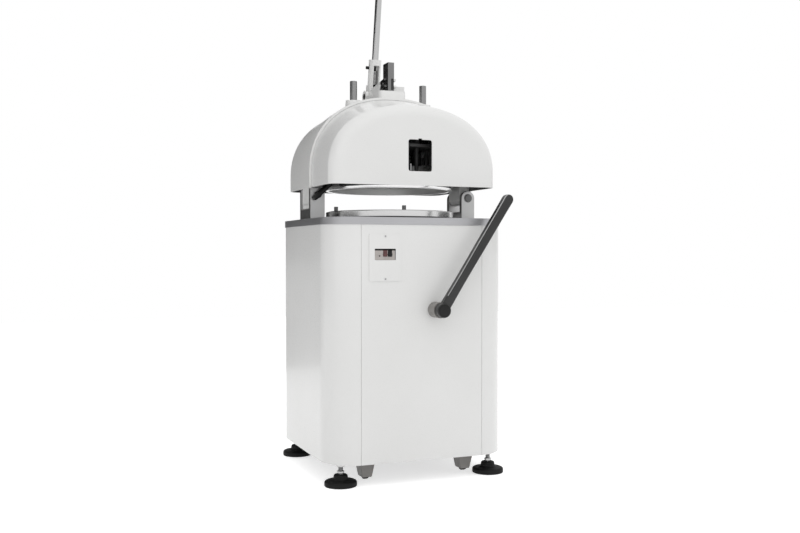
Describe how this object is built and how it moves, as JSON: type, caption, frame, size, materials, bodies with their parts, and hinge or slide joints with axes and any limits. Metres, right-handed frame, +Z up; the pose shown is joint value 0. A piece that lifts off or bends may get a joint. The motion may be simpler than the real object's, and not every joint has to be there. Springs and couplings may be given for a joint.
{
  "type": "divider rounder",
  "caption": "Floor-standing dough divider rounder: round-cornered cabinet on levelling feet, orbiting table, tilting domed head with press ring and knives, long press lever.",
  "frame": {"origin": "on the floor, straight under the press column's middle", "axes": "+X to the right as seen from the front, +Y to the rear, +Z up"},
  "size_m": [0.667, 0.7513, 2.0706],
  "materials": {
    "white_paint": "smooth gloss powder coat",
    "brushed_steel": "fine brushed stainless steel",
    "polished_steel": "polished stainless steel",
    "bright_steel": "turned steel",
    "light_alloy": "machined aluminium",
    "frame_paint": "plain dark grey paint",
    "grey_paint": "satin grey paint",
    "black_paint": "satin black coat",
    "black_rubber": "matt black rubber",
    "black_plastic": "matt black plastic",
    "red_plastic": "gloss red plastic",
    "grey_plastic": "matt light grey plastic",
    "white_plastic": "white food-safe plastic",
    "bronze": "bearing bronze"
  },
  "bodies": {
    "frame": {"bottom_plate": "frame_paint", "corner_posts": "frame_paint", "left_side_panel": "white_paint", "right_side_panel": "white_paint", "front_panel": "white_paint", "rear_panel": "white_paint", "panel_screws": "bright_steel", "cable_gland": "black_plastic", "top_plate": "brushed_steel", "foot_pads": "black_rubber", "foot_stems": "bright_steel", "caster_housings": "grey_paint", "switch_plate": "white_paint", "switch_body": "grey_plastic", "lever_bush": "grey_paint", "motor": "frame_paint", "motor_mount": "frame_paint", "v_belt": "black_rubber", "bearing_housing": "frame_paint", "shaft_bearings": "bright_steel", "left_fork": "brushed_steel", "right_fork": "brushed_steel", "hinge_pin": "bright_steel"},
    "front_left_wheel": {"front_left_wheel": "black_rubber"},
    "front_right_wheel": {"front_right_wheel": "black_rubber"},
    "rear_left_wheel": {"rear_left_wheel": "black_rubber"},
    "rear_right_wheel": {"rear_right_wheel": "black_rubber"},
    "start_button": {"start_button": "black_plastic"},
    "stop_button": {"stop_button": "red_plastic"},
    "front_lever": {"lever_shaft": "bright_steel", "front_lever": "black_paint"},
    "lift_yoke": {"lift_yoke": "frame_paint"},
    "motor_rotor": {"motor_pulley": "light_alloy"},
    "drive": {"drive_pulley": "light_alloy", "drive_shaft": "bright_steel"},
    "crank": {"crank_head": "bright_steel"},
    "left_idler": {"left_idler_crank": "bright_steel"},
    "right_idler": {"right_idler_crank": "bright_steel"},
    "table": {"rounding_table": "polished_steel", "table_pegs": "bright_steel"},
    "clamp": {"clamp_handle": "black_plastic"},
    "head": {"arch": "white_paint", "front_shell": "white_paint", "rear_shell": "white_paint", "rod_bushes": "bronze", "lever_bracket": "white_paint", "lever_pivot_pin": "bright_steel", "return_springs": "bright_steel"},
    "press_unit": {"press_ring": "polished_steel", "carrier_plate": "light_alloy", "press_segments": "white_plastic", "guide_rods": "polished_steel"},
    "knife_unit": {"press_column": "polished_steel", "crosshead": "light_alloy", "knife_lattice": "bright_steel"},
    "press_lever": {"press_lever": "white_paint", "lever_rod": "polished_steel", "lever_grip": "black_plastic", "latch_spring": "bright_steel"},
    "latch": {"latch_plunger": "black_plastic"}
  },
  "joints": [
    {"name": "head_tilt", "type": "hinge", "parent": "frame", "child": "head", "pos_m": [0.2935, 0, 0.985], "axis": [0, 1, 0], "range_deg": [0, 85]},
    {"name": "press_lever_swing", "type": "hinge", "parent": "head", "child": "press_lever", "pos_m": [0, 0.166, 1.38], "axis": [1, 0, 0], "range_deg": [0, 35]},
    {"name": "latch_slide", "type": "slide", "parent": "press_lever", "child": "latch", "axis": [0, -0.165, 0.9863], "range_m": [0, 0.008], "stiffness_N_per_m": 400, "springref_m": -0.01, "deforming": ["latch_spring"]},
    {"name": "press_slide", "type": "slide", "parent": "head", "child": "press_unit", "axis": [0, 0, -1], "range_m": [0, 0.05], "stiffness_N_per_m": 3000, "springref_m": -0.18, "deforming": ["return_springs"]},
    {"name": "knife_slide", "type": "slide", "parent": "head", "child": "knife_unit", "axis": [0, 0, -1], "range_m": [0, 0.095]},
    {"name": "clamp_turn", "type": "hinge", "parent": "frame", "child": "clamp", "pos_m": [-0.2935, 0, 0.985], "axis": [0, 1, 0], "range_deg": [0, 60]},
    {"name": "front_lever_swing", "type": "hinge", "parent": "frame", "child": "front_lever", "pos_m": [0.044, -0.39, 0.587], "axis": [0, 1, 0], "range_deg": [-60, 0]},
    {"name": "yoke_lift", "type": "slide", "parent": "frame", "child": "lift_yoke", "axis": [0, 0, 1], "range_m": [0, 0.01]},
    {"name": "drive_spin", "type": "hinge", "parent": "frame", "child": "drive", "pos_m": [0, 0, 0.7], "axis": [0, 0, 1], "continuous": true},
    {"name": "crank_lift", "type": "slide", "parent": "drive", "child": "crank", "axis": [0, 0, 1], "range_m": [0, 0.01]},
    {"name": "table_orbit", "type": "hinge", "parent": "crank", "child": "table", "pos_m": [0, -0.012, 0.9], "axis": [0, 0, 1], "continuous": true},
    {"name": "left_idler_spin", "type": "hinge", "parent": "frame", "child": "left_idler", "pos_m": [-0.12, 0, 0.88], "axis": [0, 0, 1], "continuous": true},
    {"name": "right_idler_spin", "type": "hinge", "parent": "frame", "child": "right_idler", "pos_m": [0.12, 0, 0.88], "axis": [0, 0, 1], "continuous": true},
    {"name": "motor_spin", "type": "hinge", "parent": "frame", "child": "motor_rotor", "pos_m": [0, 0.19, 0.63], "axis": [0, 0, 1], "continuous": true},
    {"name": "start_press", "type": "slide", "parent": "frame", "child": "start_button", "axis": [0, 1, 0], "range_m": [0, 0.003], "stiffness_N_per_m": 400},
    {"name": "stop_press", "type": "slide", "parent": "frame", "child": "stop_button", "axis": [0, 1, 0], "range_m": [0, 0.003], "stiffness_N_per_m": 400},
    {"name": "front_left_roll", "type": "hinge", "parent": "frame", "child": "front_left_wheel", "pos_m": [-0.183, -0.25, 0.034], "axis": [1, 0, 0], "continuous": true},
    {"name": "front_right_roll", "type": "hinge", "parent": "frame", "child": "front_right_wheel", "pos_m": [0.183, -0.25, 0.034], "axis": [1, 0, 0], "continuous": true},
    {"name": "rear_left_roll", "type": "hinge", "parent": "frame", "child": "rear_left_wheel", "pos_m": [-0.183, 0.25, 0.034], "axis": [1, 0, 0], "continuous": true},
    {"name": "rear_right_roll", "type": "hinge", "parent": "frame", "child": "rear_right_wheel", "pos_m": [0.183, 0.25, 0.034], "axis": [1, 0, 0], "continuous": true}
  ],
  "couplings": [
    {"joint": "knife_slide", "follows": "press_lever_swing", "m_per_rad": 0.1555},
    {"joint": "press_slide", "follows": "press_lever_swing", "m_per_rad": 0.0818},
    {"joint": "yoke_lift", "follows": "front_lever_swing", "m_per_rad": -0.00954},
    {"joint": "crank_lift", "follows": "front_lever_swing", "m_per_rad": -0.00954},
    {"joint": "table_orbit", "follows": "drive_spin", "ratio": -1},
    {"joint": "left_idler_spin", "follows": "drive_spin", "ratio": 1},
    {"joint": "right_idler_spin", "follows": "drive_spin", "ratio": 1},
    {"joint": "motor_spin", "follows": "drive_spin", "ratio": 3}
  ]
}
